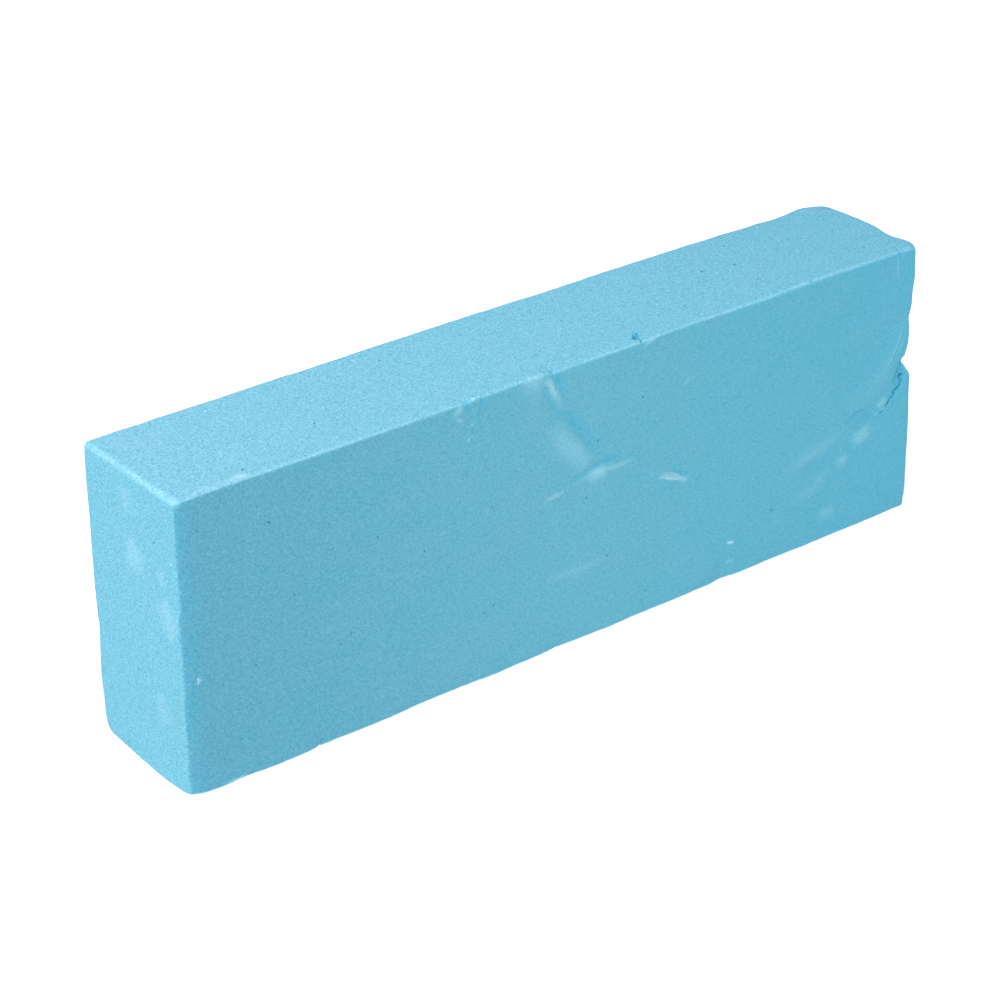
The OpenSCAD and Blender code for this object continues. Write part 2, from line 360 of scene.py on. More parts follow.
        mark([(-9, 83.5), (-7, 89.5)], -0.3, 5.2, 5.2, deep=0.06),
        mark([(13.5, 84.5), (14.5, 90)], -0.26, 5.2, 4.8, deep=0.05),
        mark([(42, 99), (45.4, 94.6), (47.2, 89), (46.8, 84.4)], -0.24, 0.5, 1.5, deep=0.3),
        mark([(43.2, 99.6), (46.8, 95), (48.6, 89)], 0.12, 1, 0.5, pale=0.16),
        mark([(-52.4, 101.2), (-50.8, 102.1), (-49, 101.8), (-47.6, 100.6)],
             -0.3, 0.2, 0.9, deep=0.2, ends=0.3),
        mark([(-51.8, 101), (-49.6, 101.3), (-48, 100.2)], 0, 0.3, 0.4, pale=0.7, ends=0.3),
    ],
    "guessed creases on the right end": [
        mark([(67.5, 26.6), (70.4, 25.6), (74.4, 25), (79, 26.2), (83, 28.4)],
             -0.42, 1.2, 0.8, deep=0.4, ends=(0.02, 0.55)),
        mark([(67.6, 24.4), (69.2, 23.5), (71, 23.7), (72.8, 22.9)],
             -0.4, 0.16, 0.16, deep=0.9, ends=(0.1, 0.5), ragged=0.1),
        mark([(68.6, 29.4), (73, 28), (78.6, 29)], 0.2, 1.8, 1.2, pale=0.14, ends=0.4),
        mark([(80, 12.4), (83.4, 9.4)], -0.22, 2.6, 2.2, deep=0.06),
    ],
}


markLook = {
    "tail": 1.4,  # a mark has died out at this many times its reach
    "margin": 1.2,  # millimetres looked at beyond that
    "ends": 0.4,  # the share of its path over which it fades at each end
    "raggedWidth": 0.35,  # the least width of one wander of its outline
    "raggedSeed": 300,
}
allMarks = [each for group in clayMarks.values() for each in group]


# Which flat points lie in the rectangle round a path, grown by reach
def nearPath(flat, path, reach):
    return np.all((flat > path.min(0) - reach) & (flat < path.max(0) + reach), axis=1)


# Adds up the marks: height off the side, and how pale, deep and dark the clay is there, painted highlight
# and painted shade among them
def readMarks(flat, points):
    height = np.zeros(len(flat))
    tints = {name: np.zeros(len(flat)) for name in ("pale", "deep", "core")}
    for number, each in enumerate(allMarks):
        path = np.array(each["path"], float)
        reach = max(each["left"], each["right"]) * markLook["tail"] + markLook["margin"]
        near = nearPath(flat, path, reach)
        if not near.any():
            continue
        here = flat[near]
        ragged = each.get("ragged", 0)
        if ragged:
            size = markLook["raggedWidth"] + ragged * 2
            seed = markLook["raggedSeed"] + 2 * number
            shift = [smoothNoise(points[near], size, seed + way, 2) for way in (0, 1)]
            here = here + ragged * np.stack(shift, 1)
        distance, share, side = alongPath(here, path)
        width = np.where(side > 0, each["right"], each["left"])
        t = np.clip(distance / (width * markLook["tail"]), 0, 1)
        ends = each.get("ends", markLook["ends"])
        first, last = ends if isinstance(ends, tuple) else (ends, ends)
        ending = fade(share, 0, first) * (1 - fade(share, 1 - last, 1))
        strength = (1 - t * t) ** 2 * np.sqrt(ending)
        height[near] += each["height"] * strength
        for name, tint in tints.items():
            tint[near] = np.maximum(tint[near], each.get(name, 0) * strength)
    return height, tints


# Splits the faces near each mark, and up to three times more where it is narrow
def refineMarks(points, quads):
    mesh = bpy.data.meshes.new("grid")
    mesh.from_pydata(points.tolist(), [], quads.tolist())
    work = bmesh.new()
    work.from_mesh(mesh)
    bpy.data.meshes.remove(mesh)
    for widest, margin in barGrid["splits"]:
        flat = unroll(np.array([v.co for v in work.verts]))
        wanted = np.zeros(len(flat), bool)
        for each in allMarks:
            narrow = min(each["left"], each["right"])
            if narrow > widest:
                continue
            path = np.array(each["path"], float)
            reach = narrow * barGrid["splitReach"] + margin + each.get("ragged", 0)
            near = nearPath(flat, path, reach)
            distance, _, _ = alongPath(flat[near], path)
            wanted[np.flatnonzero(near)[distance < reach]] = True
        work.verts.ensure_lookup_table()
        edges = [e for e in work.edges if wanted[e.verts[0].index] and wanted[e.verts[1].index]]
        bmesh.ops.subdivide_edges(work, edges=edges, cuts=1, use_grid_fill=True)
        work.verts.index_update()
    bmesh.ops.triangulate(work, faces=[f for f in work.faces if len(f.verts) > 4])
    return work


edgeRounds = {
    "cut": 0.6,  # crisp edges that the cutting wire left
    "wander": (0.35, 9.0, 11, 2),  # share by which they vary, over how many millimetres, seed and octaves
    "least": 0.2,
    "grow": 0.16,  # the clay stands this far proud of the CAD box, so that its rounded edges reach its lines
    # softer places: how far the rounding reaches in, and the distances over which it goes back to plain
    "rightBack": (2.4, 3, 6),  # slumped upright edge at the back of the right end
    "rightTop": (1.3, 2, 5),  # top edge of the right end
    "leftBackFoot": (1.8, 4, 9),  # worn corner at the back of the left end's foot
    "leftTurn": (2.2, 2.5, 6),  # where the front turns at the left end
}


# How far the rounding of each edge reaches along X, Y and Z near each point of the sharp box
def edgeReach(points):
    x, y, z = points.T
    vary, *pattern = edgeRounds["wander"]
    plain = edgeRounds["cut"] * (1 + vary * smoothNoise(points, *pattern))
    reach = np.stack([plain, plain, plain], 1)
    toBack = halfThickness - y
    toRight = halfLength - x
    toLeft = halfLength + x
    places = (
        ("rightBack", np.hypot(toBack, toRight), [0, 1]),
        ("rightTop", np.hypot(bar["height"] - z, toRight), [0, 2]),
        ("leftBackFoot", np.sqrt(toBack**2 + toLeft**2 + z**2), [1, 2]),
        ("leftTurn", np.hypot(halfThickness + y, toLeft), [0]),
    )
    for name, distance, axes in places:
        soft, start, end = edgeRounds[name]
        share = 1 - fade(distance, start, end)
        reach[:, axes] += ((soft - plain) * share)[:, None]
    return np.maximum(reach, edgeRounds["least"])


# Softens the sharp box's edges; gives the new points and their outward directions
def roundEdges(points):
    reach = edgeReach(points)
    grow = edgeRounds["grow"]
    low = np.array([-halfLength, -halfThickness, 0.0])
    high = np.array([halfLength, halfThickness, bar["height"]])
    grownLow = low - (grow, grow, 0)
    grownHigh = high + grow
    grown = grownLow + (points - low) / (high - low) * (grownHigh - grownLow)
    inner = np.clip(grown, grownLow + reach, grownHigh - reach)
    out = (grown - inner) / reach
    out /= np.linalg.norm(out, axis=1)[:, None]
    facing = out / reach
    return inner + out * reach, facing / np.linalg.norm(facing, axis=1)[:, None]


# Wander of the outline, as (place, millimetres) stops along each edge
outlines = {
    "topFront": [
        (-67, 0), (-55, 0.1), (-42, 0), (-30, -0.1), (-21, 0), (-19.2, -0.2), (-17.4, 0), (-12, 0.1),
        (-5.5, 0.25), (-3.4, -0.1), (0, -0.05), (12, -0.1), (24, 0), (36, -0.1), (49, 0.1), (58, -0.05),
        (67, 0),
    ],
    "footFront": [
        (-67, -0.1), (-63.5, 0.35), (-60, 0.25), (-57, 0.15), (-53, 0.4), (-49, 0.4), (-45, 0.1),
        (-39, 0.25), (-33, 0.3), (-29.5, 0.05), (-24, 0.05), (-17, 0.3), (-12, 0.1), (-8.5, 0.2),
        (-3, -0.1), (2, 0.1), (9, 0.2), (15, 0), (18, 0.15), (23, 0.05), (27, -0.15), (29.3, -0.55),
        (32, 0), (48, 0.08), (58, 0), (67, -0.3),
    ],
    "topBack": [
        (-67, 0), (-50, 0.05), (-30, 0.15), (-18, 0.35), (-9, 0.25), (0, 0.05), (10, 0.1), (20, 0.1),
        (30, 0.05), (40, 0.05), (46, -0.05), (51, -0.25), (53.5, -0.15), (57, -0.4), (60, -0.25),
        (63, 0.1), (67, -0.05),
    ],
    "rightFront": [
        (0, -0.1), (4, 0.05), (16, 0.1), (19, 0), (21.5, 0), (23.5, 0.1), (24.3, -0.15), (25.2, -0.75),
        (26.35, -1.5), (26.9, -1.4), (28, -1.05), (28.9, -0.7), (29.8, -0.5), (31, -0.5), (33, -0.7),
        (34, -0.95), (35.2, -0.65), (36.4, -0.35), (38, -0.35), (39.5, -0.25), (42, 0), (46, 0.1),
    ],
    "rightTop": [
        (-11, -0.2), (-9.5, 0.7), (-8.5, 0.6), (-6, -0.1), (-4, 0), (-1.5, 0.45), (2.5, 0.45), (5, 0.15),
        (7, 0.3), (11, 0.5),
    ],
    "leftBack": [
        (0, 0), (4, 0.1), (8, 0), (12, -0.1), (15, -0.25), (18, -0.4), (21, -0.1), (27, 0.15), (36, 0.1),
        (41, 0.25), (47, 0),
    ],
    "leftFront": [
        (0, 0.1), (8, 0), (14, 0.15), (19, -0.1), (25, 0.1), (28.4, 0.25), (30, -0.15), (38, 0.05),
        (47, 0),
    ],
    "leftFoot": [
        (-11, -0.4), (-9.5, 0.3), (-7.5, 0.35), (-5.5, 0.4), (-3.5, 0.4), (-0.5, 0.1), (3.5, 0.05), (7, 0),
        (8.5, -0.1), (11, -0.15),
    ],
}


# How far from its edge each wander reaches, in millimetres
outlineReach = {
    "topFront": 2.4,
    "footFront": 2.6,
    "topBack": 3.5,
    "rightTop": 4.0,
    "leftBack": 3.0,
    "leftFront": 1.6,
    "leftFoot": 2.8,
    "rightFront": 3.2,
    "rightFrontAcross": 8,  # how far the notch runs back across the right end
    "rightFrontBelow": (-1, 3),  # where it fades out under the top
}


# The wander of the edges as moves of each point
def leanOutlines(points):
    x, y, z = points.T
    front = y + halfThickness
    back = halfThickness - y
    top = bar["height"] - z
    right = halfLength - x
    left = halfLength + x
    near = lambda distance, name: np.exp(-((distance / outlineReach[name]) ** 2))
    # each edge, the distance to it, the place along it, and the axis and the way that it moves
    edges = (
        ("topFront", np.hypot(top, front), x, 2, 1),
        ("footFront", np.hypot(z, front), x, 1, -1),
        ("topBack", np.hypot(top, back), x, 2, 1),
        ("rightTop", np.hypot(top, right), y, 0, 1),
        ("leftBack", np.hypot(left, back), z, 1, 1),
        ("leftFront", np.hypot(left, front), z, 0, -1),
        ("leftFoot", np.hypot(left, z), y, 0, -1),
    )
    move = np.zeros_like(points)
    for name, distance, place, axis, way in edges:
        move[:, axis] += way * throughStops(place, outlines[name]) * near(distance, name)
    notch = throughStops(z, outlines["rightFront"]) * near(right, "rightFront")
    move[:, 0] += notch * near(front, "rightFrontAcross") * fade(top, *outlineReach["rightFrontBelow"])
    return move


# Height and width in millimetres, seed and octaves of each wave of the handled clay
surfaceWaves = {
    "slow": (0.12, 26.0, 21, 2),
    "middle": (0.05, 7.0, 22, 2),
    "cutGrain": (0.03, 1.6, 23, 2),  # torn grain where the wire went through
    "burr": (0.028, 1.3, 24, 3),  # torn burr along the cut edges
}

surfaceTurns = {
    "skinGrain": 0.4,  # grain of the pressed sides, as a share of the cut sides'
    "cut": (0.45, 0.8),  # how far a side has to face the ends, the top or the foot to be wire-cut
    "flat": (0.8, 0.99),  # how square on a side is where the burr dies out
}

# How far the clay is whitened in from each edge in millimetres, and how strongly: worn clay and painted
# highlight along the edges, strongest at the top-left edge between the two lit sides
paleEdges = {
    "topLeft": (1.1, 0.4),
    "topFront": (0.55, 0.24),
    "leftFront": (0.5, 0.0),
    "other": (0.6, 0.2),
}
paleCore = 0.15  # the share of that width which has the full strength


# Height of one wave at each point
def wave(name, points):
    height, width, seed, octaves = surfaceWaves[name]
    return height * smoothNoise(points, width, seed, octaves)


# How much each point belongs to a wire-cut side, 1, or to a pressed broad side, 0
def cutShare(normals):
    return fade(np.maximum(np.abs(normals[:, 0]), np.abs(normals[:, 2])), *surfaceTurns["cut"])


# How strongly each point is whitened by the edge that it lies near, as worn clay and painted highlight
def edgePaleness(points):
    x, y, z = points.T
    gaps = {
        "top": bar["height"] - z, "foot": z, "left": halfLength + x, "right": halfLength - x,
        "front": halfThickness + y, "back": halfThickness - y,
    }
    total = np.zeros(len(points))
    named = {("top", "left"): "topLeft", ("top", "front"): "topFront", ("left", "front"): "leftFront"}
    opposite = {("left", "right"), ("front", "back"), ("top", "foot")}
    sides = list(gaps)
    for i, one in enumerate(sides):
        for other in sides[i + 1:]:
            if (one, other) in opposite:
                continue
            kind = named.get((one, other), "other")
            width, strength = paleEdges[kind]
            across = np.maximum(gaps[one], gaps[other])
            total = np.maximum(total, strength * (1 - fade(across, paleCore * width, width)))
    return total


# The bar: the box is split finer, rounded, marked, waved, leaned and tapered, with its tints as attributes
def sculptBar():
    points, quads = boxMesh()
    work = refineMarks(points, quads)
    points = np.array([v.co for v in work.verts])
    rounded, out = roundEdges(points)
    cut = cutShare(out)
    height, tints = readMarks(unroll(points), points)
    edge = edgePaleness(points)
    height += wave("slow", rounded) + wave("middle", rounded)
    height += wave("cutGrain", rounded) * (cut + surfaceTurns["skinGrain"] * (1 - cut))
    height += wave("burr", rounded) * (1 - fade(np.abs(out).max(1), *surfaceTurns["flat"]))
    placed = rounded + out * height[:, None] + leanOutlines(points)
    along = (placed[:, 0] + halfLength) / bar["length"]
    placed[:, 2] *= 1 - bar["heightFall"] * along / bar["height"]
    placed[:, 1] -= bar["backFall"] * along * (placed[:, 1] + halfThickness) / bar["thickness"]
    placed[:, 2] = np.maximum(placed[:, 2], 0)
    for vertex, place in zip(work.verts, placed * mm):
        vertex.co = place
    mesh = bpy.data.meshes.new("clay_bar_body")
    work.to_mesh(mesh)
    work.free()
    mesh.polygons.foreach_set("use_smooth", np.ones(len(mesh.polygons), bool))
    for name, values in {"cut": cut, "edge": edge, **tints}.items():
        layer = mesh.attributes.new(name, "FLOAT", "POINT")
        layer.data.foreach_set("value", values.astype(np.float32))
    triangles = sum(len(p.vertices) - 2 for p in mesh.polygons)
    print("bar sculpted:", len(mesh.vertices), "points,", triangles, "triangles")
    return addObject("clay_bar_body", mesh)


# An sRGB hex colour as linear light
def colour(hexCode):
    parts = [int(hexCode[i:i + 2], 16) / 255 for i in (1, 3, 5)]
    linear = [p / 12.92 if p <= 0.04045 else ((p + 0.055) / 1.055) ** 2.4 for p in parts]
    return (*linear, 1.0)


# An empty material
def newMaterial(name):
    material = bpy.data.materials.new(name)
    material.use_nodes = True
    material.node_tree.nodes.clear()
    return material


# Adds a node with its sockets, linked or set, and its settings
def addNode(tree, kind, inputs=None, **settings):
    node = tree.nodes.new(kind)
    for name, value in settings.items():
        setattr(node, name, value)
    for name, value in (inputs or {}).items():
        if isinstance(value, bpy.types.NodeSocket):
            tree.links.new(value, node.inputs[name])
        else:
            node.inputs[name].default_value = value
    return node


clayLook = {
    # colours at shares of the length from the left end: pressed broad sides, and paler wire-cut sides, the
    # top and the left end, whose paleness is partly torn texture and partly painted sheen of the light; the
    # cut sides' fall towards the right end is painted falloff of the light from the left
    "skin": ((0.0, "#5099B3"), (0.009, "#4F99B3"), (0.028, "#5298AF"), (0.5, "#59A2B7"), (1.0, "#4FA1BB")),
    "cut": ((0.0, "#66ABC2"), (0.0022, "#66ABC2"), (0.0089, "#70ABC1"), (0.5, "#68A8BE"), (1.0, "#61A2B9")),
    "pale": "#A3D0E0",  # stretched or scuffed clay, and painted highlight on slopes and ridges that face the light
    "deep": "#3A9DBC",  # fresh clay inside creases and tears, and painted shade in their hollows
    "core": "#1E86A4",  # painted shade inside a crack or a pit
    "grainWidth": 0.42,  # millimetres, as are the other widths
    "gritWidth": 0.21,
    "blotchWidth": 6.0,
    "tornWidth": 2.5,
    "poreSpacing": 1.5,
    "grainPull": 0.72,  # the grain is drawn out along the bar by the extruding
    "grainTurn": (0.61, 0.43, 0.94),  # radians, so that no side lies along the pattern
    "grainFall": 0.68,  # its strength at the right end, as a share of that at the left
    "grainStrength": (0.08, 0.12),  # on the pressed sides and on the cut sides
    "gritStrength": (0.13, 0.28),
    "grainTint": (0.62, 1.0, 1.08),  # how much the grain moves red, green and blue
    "blotchTint": (0.03, -0.005, 0.02),  # the blotches swing between violet and green
    "poreReach": (0.08, 0.2),  # a pore is dark within the first share of the spacing and gone at the second; the dark is painted shade in the pit
    "poreDepth": 0.05,
    "tornRange": (0.38, 0.6),  # where in the torn pattern the edges' whitening and painted highlight rise from least to full
    "tornLeast": 0.45,
    "roughness": (0.62, 0.82),  # waxy, and drier where the grain stands out
    "bumpStrength": (0.4, 0.9),
    "bumpHeight": 0.00004,  # metres
    "gritBump": 0.6,  # height of the grit and of the pores in the relief, beside the grain's 1
    "poreBump": 8.0,
    "glow": 0.08,  # light that passes through the waxy skin
    "glowReach": (0.5, 0.8, 1.0),
    "glowScale": 0.0008,  # metres
}


# Synthetic detailing clay, extruded and wire-cut: matt and waxy, a fine even grain from the abrasive in it,
# paler and pitted where the wire tore through, with painted sheen in that paleness and painted shade in the
# pits, whitened where it was stretched and painted highlight on slopes and edges that face the light, richer
# where freshly opened with painted shade in creases, and painted shade inside cracks and pits
def detailingClay():
    look = clayLook
    material = newMaterial("extruded synthetic detailing clay")
    tree = material.node_tree
    cut, edge, pale, deep, core = (
        addNode(tree, "ShaderNodeAttribute", attribute_name=name).outputs["Fac"]
        for name in ("cut", "edge", "pale", "deep", "core")
    )
    place = addNode(tree, "ShaderNodeTexCoord").outputs["Object"]
    # from metres to millimetres
    scaled = addNode(tree, "ShaderNodeVectorMath", {0: place, 1: (1000, 1000, 1000)}, operation="MULTIPLY")
    along = addNode(tree, "ShaderNodeSeparateXYZ", {0: scaled.outputs[0]}).outputs["X"]
    turned = addNode(tree, "ShaderNodeMapping", {
        "Vector": scaled.outputs[0], "Rotation": look["grainTurn"], "Scale": (look["grainPull"], 1, 1)})
    place = turned.outputs[0]

    # grain of the mixed-in abrasive, finer grit in it, slow blotches and torn patches along the edges
    noises = {}
    for name, detail, roughness in (
            ("grain", 1.0, 0.5), ("grit", 0.0, 0.5), ("blotch", 3.0, 0.6), ("torn", 4.0, 0.65)):
        noises[name] = addNode(tree, "ShaderNodeTexNoise", {
            "Vector": place, "Scale": 1 / look[name + "Width"], "Detail": detail,
            "Roughness": roughness}).outputs["Fac"]
    pores = addNode(tree, "ShaderNodeTexVoronoi", {
        "Vector": place, "Scale": 1 / look["poreSpacing"]}, feature="F1").outputs["Distance"]

    # base colour, which drifts along the bar; the cut sides are painted paler, and their colour falls
    # towards the right end as painted falloff of the light from the left
    share = addNode(tree, "ShaderNodeMapRange", {
        "Value": along, "From Min": -halfLength, "From Max": halfLength}).outputs[0]
    drift = {}
    for side in ("skin", "cut"):
        ramp = addNode(tree, "ShaderNodeValToRGB", {"Fac": share})
        stops = ramp.color_ramp.elements
        stops.remove(stops[1])
        first, *rest = look[side]
        stops[0].color = colour(first[1])
        for at, code in rest:
            stops.new(at).color = colour(code)
        drift[side] = ramp.outputs["Color"]
    base = addNode(tree, "ShaderNodeMix", {
        0: cut, 6: drift["skin"], 7: drift["cut"]}, data_type="RGBA").outputs[2]

    # whitened clay and painted highlight, freshly opened clay and painted shade in hollows, and painted
    # shade inside cracks and pits
    low, high = look["tornRange"]
    patchy = addNode(tree, "ShaderNodeMapRange", {
        "Value": noises["torn"], "From Min": low, "From Max": high, "To Min": look["tornLeast"],
        "To Max": 1.0}).outputs[0]
    edgeShare = addNode(tree, "ShaderNodeMath", {0: edge, 1: patchy}, operation="MULTIPLY").outputs[0]
    paleShare = addNode(tree, "ShaderNodeMath", {0: edgeShare, 1: pale}, operation="MAXIMUM").outputs[0]
    for amount, tint in ((paleShare, "pale"), (deep, "deep"), (core, "core")):
        base = addNode(tree, "ShaderNodeMix", {
            0: amount, 6: base, 7: colour(look[tint])}, data_type="RGBA").outputs[2]

    # light and dark of the grain, stronger on the cut sides and fainter towards the right end
    swing = 0.0
    for name in ("grain", "grit"):
        low, high = look[name + "Strength"]
        amount = addNode(tree, "ShaderNodeMapRange", {
            "Value": cut, "To Min": low, "To Max": high}).outputs[0]
        middled = addNode(tree, "ShaderNodeMath", {0: noises[name], 1: 0.5}, operation="SUBTRACT").outputs[0]
        swing = addNode(tree, "ShaderNodeMath", {
            0: middled, 1: amount, 2: swing}, operation="MULTIPLY_ADD").outputs[0]
    fall = addNode(tree, "ShaderNodeMapRange", {
        "Value": share, "To Min": 1.0, "To Max": look["grainFall"]}).outputs[0]
    swing = addNode(tree, "ShaderNodeMath", {0: swing, 1: fall}, operation="MULTIPLY").outputs[0]
    # the pores darken the cut sides' colour: painted shade in the small pits, beside their bump
    low, high = look["poreReach"]
    porous = addNode(tree, "ShaderNodeMapRange", {
        "Value": pores, "From Min": low, "From Max": high, "To Min": -look["poreDepth"],
        "To Max": 0.0}).outputs[0]
    pitted = addNode(tree, "ShaderNodeMath", {
        0: porous, 1: cut, 2: swing}, operation="MULTIPLY_ADD").outputs[0]
    shade = addNode(tree, "ShaderNodeVectorMath", {
        0: pitted, 1: look["grainTint"], 2: base}, operation="MULTIPLY_ADD").outputs[0]
    cast = addNode(tree, "ShaderNodeMath", {0: noises["blotch"], 1: 0.5}, operation="SUBTRACT").outputs[0]
    shade = addNode(tree, "ShaderNodeVectorMath", {
        0: cast, 1: look["blotchTint"], 2: shade}, operation="MULTIPLY_ADD").outputs[0]

    # finish and relief
    low, high = look["roughness"]
    rough = addNode(tree, "ShaderNodeMapRange", {
        "Value": noises["grain"], "To Min": low, "To Max": high}).outputs[0]
    relief = addNode(tree, "ShaderNodeMath", {
        0: noises["grit"], 1: look["gritBump"], 2: noises["grain"]}, operation="MULTIPLY_ADD").outputs[0]
    relief = addNode(tree, "ShaderNodeMath", {
        0: porous, 1: look["poreBump"], 2: relief}, operation="MULTIPLY_ADD").outputs[0]
    low, high = look["bumpStrength"]
    strength = addNode(tree, "ShaderNodeMapRange", {"Value": cut, "To Min": low, "To Max": high}).outputs[0]
    bump = addNode(tree, "ShaderNodeBump", {
        "Height": relief, "Strength": strength, "Distance": look["bumpHeight"]}).outputs["Normal"]
    shader = addNode(tree, "ShaderNodeBsdfPrincipled", {
        "Base Color": shade, "Roughness": rough, "Normal": bump, "IOR": 1.45, "Specular IOR Level": 0.35,
        "Subsurface Weight": look["glow"], "Subsurface Radius": look["glowReach"],
        "Subsurface Scale": look["glowScale"]})
    addNode(tree, "ShaderNodeOutputMaterial", {"Surface": shader.outputs[0]})
    return material


gritLook = {
    "colour": ("#1F5366", "#4A8CA2"),  # dark and light grains
    "roughness": 0.6,
    "toneScale": 650.0,  # a blotch is 1.5 mm wide, several grains across, so that each grain has one tone
    "facetScale": 20000.0,  # facets of 0.05 mm
    "facetHeight": 0.00002,  # metres
}


# Coarse abrasive grit caught in the clay: hard dull grains, which look dark in the pale clay around them
def trappedGrit():
    look = gritLook
    material = newMaterial("coarse abrasive grit")
    tree = material.node_tree
    place = addNode(tree, "ShaderNodeTexCoord").outputs["Object"]
    tone = addNode(tree, "ShaderNodeTexNoise", {
        "Vector": place, "Scale": look["toneScale"], "Detail": 1.0}).outputs["Fac"]
    dark, light = (colour(code) for code in look["colour"])
    base = addNode(tree, "ShaderNodeMix", {0: tone, 6: dark, 7: light}, data_type="RGBA").outputs[2]
    facets = addNode(tree, "ShaderNodeTexVoronoi", {
        "Vector": place, "Scale": look["facetScale"]}).outputs["Distance"]
    bump = addNode(tree, "ShaderNodeBump", {
        "Height": facets, "Strength": 0.5, "Distance": look["facetHeight"]}).outputs["Normal"]
    shader = addNode(tree, "ShaderNodeBsdfPrincipled", {
        "Base Color": base, "Roughness": look["roughness"], "Normal": bump, "Specular IOR Level": 0.2})
    addNode(tree, "ShaderNodeOutputMaterial", {"Surface": shader.outputs[0]})
    return material


# Sizes in millimetres and density in grains for each square millimetre; least cut is the cut share from
# which a side takes grains
grains = {
    "clay_crumbs": {
        "Density": 0.4, "Smallest": 0.05, "Largest": 0.13, "Flatness": 0.6, "Least Cut": 0.5, "Seed": 5},
    "dark_grit": {
        "Density": 0.0014, "Smallest": 0.08, "Largest": 0.18, "Flatness": 0.7, "Least Cut": 0.0, "Seed": 9},
}
grainStretch = 1.5  # a grain's length, as a share of its width
clearOfFloor = 0.3  # millimetres
fullTurn = 6.283  # radians

# Larger grains of grit in millimetres: X and Z on the front, X and Y on the top, Y and Z on the left end
pickedGrit = {
    "front": [
        (-53.0, 38.83), (-52.88, 38.79), (-52.76, 38.76), (-52.62, 38.72), (-49.2, 26.1), (-29.4, 29.4),
        (4.8, 32.3), (2.6, 23.6), (-14.7, 11.8), (-41.7, 15.4), (-16.4, 11.1), (-34.9, 30.2), (13.2, 36.7),
        (-26.9, 25.1), (54.2, 19.0),
    ],
    "top": [(-39.6, -3.7), (25.5, -6.0)],
    "left": [(-5.5, 38.2)],
}


